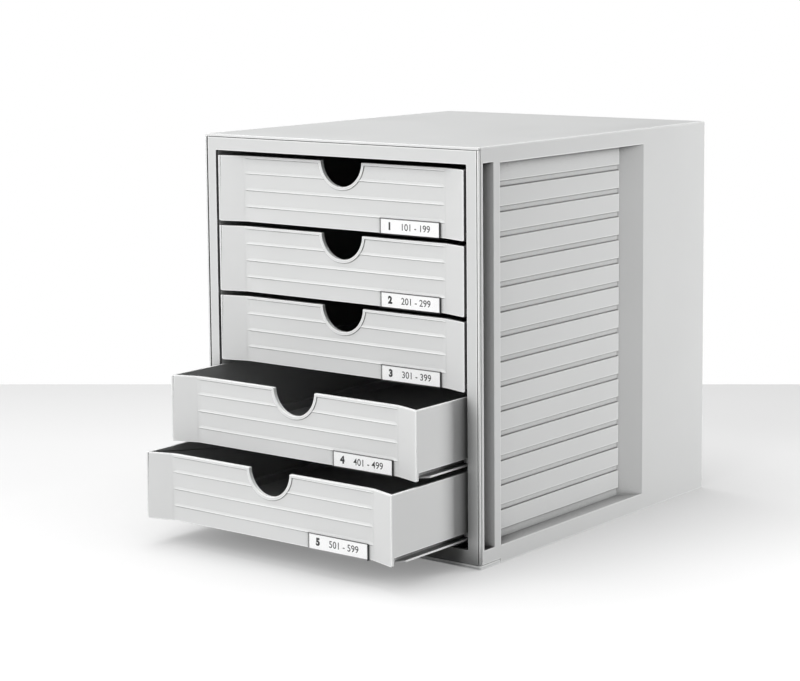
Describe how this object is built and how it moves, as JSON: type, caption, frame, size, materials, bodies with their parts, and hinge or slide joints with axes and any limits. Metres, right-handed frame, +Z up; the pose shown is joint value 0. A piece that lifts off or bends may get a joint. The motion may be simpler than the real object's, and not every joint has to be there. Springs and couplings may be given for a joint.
{
  "type": "desktop drawer organizer",
  "caption": "Free-standing desk case with shallow slide-out drawers for papers, each with a finger cut-out and a label window.",
  "frame": {"origin": "middle of the case's footprint, on the surface that it stands on", "axes": "+X to the right seen from the front, +Y to the back, +Z up"},
  "size_m": [0.275, 0.42, 0.32],
  "materials": {
    "case_plastic": "light grey moulded polystyrene, fine satin grain",
    "drawer_plastic": "light grey moulded polystyrene, satin, dark grey inside",
    "clear_window": "clear polished",
    "label_card": "uncoated white card",
    "pad_rubber": "soft matt rubber"
  },
  "bodies": {
    "case": {"right_side_panel": "case_plastic", "left_side_panel": "case_plastic", "front_frame": "case_plastic", "top_panel": "case_plastic", "base_panel": "case_plastic", "back_panel": "case_plastic", "foot_pads": "pad_rubber"},
    "drawer_1_body": {"drawer_1": "drawer_plastic", "label_window_1": "clear_window", "label_card_1": "label_card"},
    "drawer_2_body": {"drawer_2": "drawer_plastic", "label_window_2": "clear_window", "label_card_2": "label_card"},
    "drawer_3_body": {"drawer_3": "drawer_plastic", "label_window_3": "clear_window", "label_card_3": "label_card"},
    "drawer_4_body": {"drawer_4": "drawer_plastic", "label_window_4": "clear_window", "label_card_4": "label_card"},
    "drawer_5_body": {"drawer_5": "drawer_plastic", "label_window_5": "clear_window", "label_card_5": "label_card"}
  },
  "joints": [
    {"name": "drawer_1_slide", "type": "slide", "parent": "case", "child": "drawer_1_body", "axis": [0, -1, 0], "range_m": [0, 0.24]},
    {"name": "drawer_2_slide", "type": "slide", "parent": "case", "child": "drawer_2_body", "axis": [0, -1, 0], "range_m": [0, 0.24]},
    {"name": "drawer_3_slide", "type": "slide", "parent": "case", "child": "drawer_3_body", "axis": [0, -1, 0], "range_m": [0, 0.24]},
    {"name": "drawer_4_slide", "type": "slide", "parent": "case", "child": "drawer_4_body", "axis": [0, -1, 0], "range_m": [-0.06, 0.18]},
    {"name": "drawer_5_slide", "type": "slide", "parent": "case", "child": "drawer_5_body", "axis": [0, -1, 0], "range_m": [-0.09, 0.15]}
  ]
}
